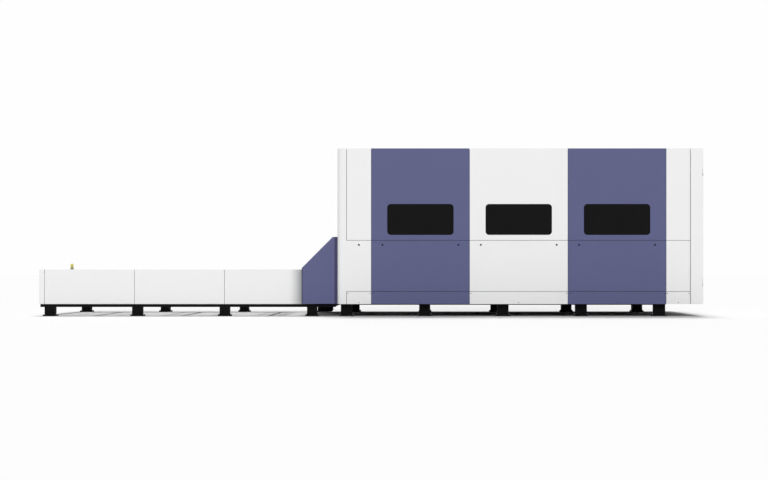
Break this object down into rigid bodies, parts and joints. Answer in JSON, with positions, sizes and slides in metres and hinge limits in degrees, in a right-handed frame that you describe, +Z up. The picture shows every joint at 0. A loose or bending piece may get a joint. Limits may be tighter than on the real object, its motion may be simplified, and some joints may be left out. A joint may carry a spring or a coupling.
{
  "type": "fiber laser cutting machine",
  "caption": "Long enclosed sheet cutter with blue and white panels and dark windows, and a low exchange table with pallets joined to its end by a sloped hood.",
  "frame": {"origin": "on the floor, under the middle of the machine's length and width", "axes": "+X along the machine from the exchange table to the cabin's far end, -Y towards the side with the fixed windows, +Z up"},
  "size_m": [8.923, 2.3, 2.25],
  "materials": {
    "white_paint": "satin powder coat",
    "blue_paint": "satin powder coat",
    "black_paint": "satin",
    "machine_grey": "satin",
    "tinted_pane": "glossy, dark tint",
    "bare_steel": "ground",
    "slat_steel": "rolled, scorched at the tips",
    "plated_steel": "polished",
    "beam_metal": "satin",
    "head_metal": "anodised",
    "wheel_iron": "turned",
    "chain_steel": "oiled",
    "source_white": "textured",
    "gear_grey": "matte",
    "lamp_base": "matte",
    "lamp_lens": "glossy, see-through tint"
  },
  "bodies": {
    "machine": {"corner_covers": "white_paint", "end_posts": "white_paint", "strip_panels": "white_paint", "upper_panels_blue": "blue_paint", "upper_panel_white": "white_paint", "lower_panels_blue": "blue_paint", "lower_panel_white": "white_paint", "window_panes": "tinted_pane", "bay_panels_far": "white_paint", "skirts_blue": "blue_paint", "skirts_white": "white_paint", "roof_panels": "white_paint", "left_wall": "white_paint", "hood": "blue_paint", "cabinet_bulkhead": "machine_grey", "enclosure_frame": "machine_grey", "door_tracks": "beam_metal", "cabinet_hinges": "plated_steel", "bed_frame": "black_paint", "cabin_feet": "black_paint", "guide_rails": "bare_steel", "pallet_tracks": "bare_steel", "laser_source": "source_white", "control_gear": "gear_grey", "table_frame": "black_paint", "table_feet": "black_paint", "table_panels": "white_paint", "table_end_cover": "white_paint", "beacon_base": "lamp_base", "beacon_lens": "lamp_lens", "drive_motor": "black_paint", "drive_chains": "chain_steel", "chain_guides": "gear_grey"},
    "gantry": {"gantry_beam": "beam_metal", "gantry_drives": "machine_grey"},
    "carriage": {"cross_carriage": "machine_grey"},
    "head": {"cutting_head": "head_metal"},
    "upper_pallet": {"upper_pallet_frame": "machine_grey", "upper_pallet_slats": "slat_steel"},
    "upper_axle_left": {"upper_wheels_left": "wheel_iron"},
    "upper_axle_right": {"upper_wheels_right": "wheel_iron"},
    "lower_pallet": {"lower_pallet_frame": "machine_grey", "lower_pallet_slats": "slat_steel"},
    "lower_axle_left": {"lower_wheels_left": "wheel_iron"},
    "lower_axle_right": {"lower_wheels_right": "wheel_iron"},
    "exchange_shaft": {"drive_shaft": "bare_steel"},
    "lift_door": {"entry_door": "machine_grey"},
    "leaf_left": {"door_leaf_left": "blue_paint", "leaf_window_left": "tinted_pane"},
    "leaf_right": {"door_leaf_right": "blue_paint", "leaf_window_right": "tinted_pane"},
    "end_door_near": {"cabinet_door_near": "white_paint"},
    "end_door_far": {"cabinet_door_far": "white_paint"},
    "lock_1": {"lock_1": "plated_steel"},
    "lock_2": {"lock_2": "plated_steel"},
    "lock_3": {"lock_3": "plated_steel"},
    "lock_4": {"lock_4": "plated_steel"},
    "lock_5": {"lock_5": "plated_steel"},
    "lock_6": {"lock_6": "plated_steel"},
    "lock_7": {"lock_7": "plated_steel"}
  },
  "joints": [
    {"name": "gantry_travel", "type": "slide", "parent": "machine", "child": "gantry", "axis": [1, 0, 0], "range_m": [-3.06, 0]},
    {"name": "carriage_travel", "type": "slide", "parent": "gantry", "child": "carriage", "axis": [0, 1, 0], "range_m": [-0.75, 0.75]},
    {"name": "head_lift", "type": "slide", "parent": "carriage", "child": "head", "axis": [0, 0, 1], "range_m": [-0.2, 0]},
    {"name": "upper_pallet_travel", "type": "slide", "parent": "machine", "child": "upper_pallet", "axis": [1, 0, 0], "range_m": [0, 4.4]},
    {"name": "lower_pallet_travel", "type": "slide", "parent": "machine", "child": "lower_pallet", "axis": [1, 0, 0], "range_m": [-4.4, 0]},
    {"name": "upper_axle_left_spin", "type": "hinge", "parent": "upper_pallet", "child": "upper_axle_left", "pos_m": [-4.0485, 0, 0.52], "axis": [0, 1, 0], "range_deg": [0, 5100]},
    {"name": "upper_axle_right_spin", "type": "hinge", "parent": "upper_pallet", "child": "upper_axle_right", "pos_m": [-1.5525, 0, 0.52], "axis": [0, 1, 0], "range_deg": [0, 5100]},
    {"name": "lower_axle_left_spin", "type": "hinge", "parent": "lower_pallet", "child": "lower_axle_left", "pos_m": [0.3515, 0, 0.34], "axis": [0, 1, 0], "range_deg": [-5100, 0]},
    {"name": "lower_axle_right_spin", "type": "hinge", "parent": "lower_pallet", "child": "lower_axle_right", "pos_m": [2.8475, 0, 0.34], "axis": [0, 1, 0], "range_deg": [-5100, 0]},
    {"name": "exchange_shaft_spin", "type": "hinge", "parent": "machine", "child": "exchange_shaft", "pos_m": [-0.6865, 0, 0.205], "axis": [0, 1, 0], "range_deg": [0, 3730]},
    {"name": "lift_door_travel", "type": "slide", "parent": "machine", "child": "lift_door", "axis": [0, 0, 1], "range_m": [-0.475, 0]},
    {"name": "leaf_left_travel", "type": "slide", "parent": "machine", "child": "leaf_left", "axis": [-1, 0, 0], "range_m": [0, 0.62]},
    {"name": "leaf_right_travel", "type": "slide", "parent": "machine", "child": "leaf_right", "axis": [1, 0, 0], "range_m": [0, 0.62]},
    {"name": "end_door_near_swing", "type": "hinge", "parent": "machine", "child": "end_door_near", "pos_m": [4.45265, -1.141, 1.2], "axis": [0, 0, -1], "range_deg": [0, 110]},
    {"name": "end_door_far_swing", "type": "hinge", "parent": "machine", "child": "end_door_far", "pos_m": [4.45265, 1.141, 1.2], "axis": [0, 0, 1], "range_deg": [0, 110]},
    {"name": "lock_1_turn", "type": "hinge", "parent": "machine", "child": "lock_1", "pos_m": [-0.149, -1.125, 0.958], "axis": [0, 1, 0], "range_deg": [0, 90]},
    {"name": "lock_2_turn", "type": "hinge", "parent": "machine", "child": "lock_2", "pos_m": [0.1665, -1.125, 0.958], "axis": [0, 1, 0], "range_deg": [0, 90]},
    {"name": "lock_3_turn", "type": "hinge", "parent": "machine", "child": "lock_3", "pos_m": [1.183, -1.125, 0.958], "axis": [0, 1, 0], "range_deg": [0, 90]},
    {"name": "lock_4_turn", "type": "hinge", "parent": "machine", "child": "lock_4", "pos_m": [1.483, -1.125, 0.958], "axis": [0, 1, 0], "range_deg": [0, 90]},
    {"name": "lock_5_turn", "type": "hinge", "parent": "machine", "child": "lock_5", "pos_m": [2.4995, -1.125, 0.958], "axis": [0, 1, 0], "range_deg": [0, 90]},
    {"name": "lock_6_turn", "type": "hinge", "parent": "machine", "child": "lock_6", "pos_m": [2.7995, -1.125, 0.958], "axis": [0, 1, 0], "range_deg": [0, 90]},
    {"name": "lock_7_turn", "type": "hinge", "parent": "machine", "child": "lock_7", "pos_m": [3.816, -1.125, 0.958], "axis": [0, 1, 0], "range_deg": [0, 90]}
  ],
  "couplings": [
    {"joint": "lower_pallet_travel", "follows": "upper_pallet_travel", "ratio": -1},
    {"joint": "upper_axle_left_spin", "follows": "upper_pallet_travel", "rad_per_m": 20.121},
    {"joint": "upper_axle_right_spin", "follows": "upper_pallet_travel", "rad_per_m": 20.121},
    {"joint": "lower_axle_left_spin", "follows": "upper_pallet_travel", "rad_per_m": -20.121},
    {"joint": "lower_axle_right_spin", "follows": "upper_pallet_travel", "rad_per_m": -20.121},
    {"joint": "exchange_shaft_spin", "follows": "upper_pallet_travel", "rad_per_m": 14.706}
  ]
}
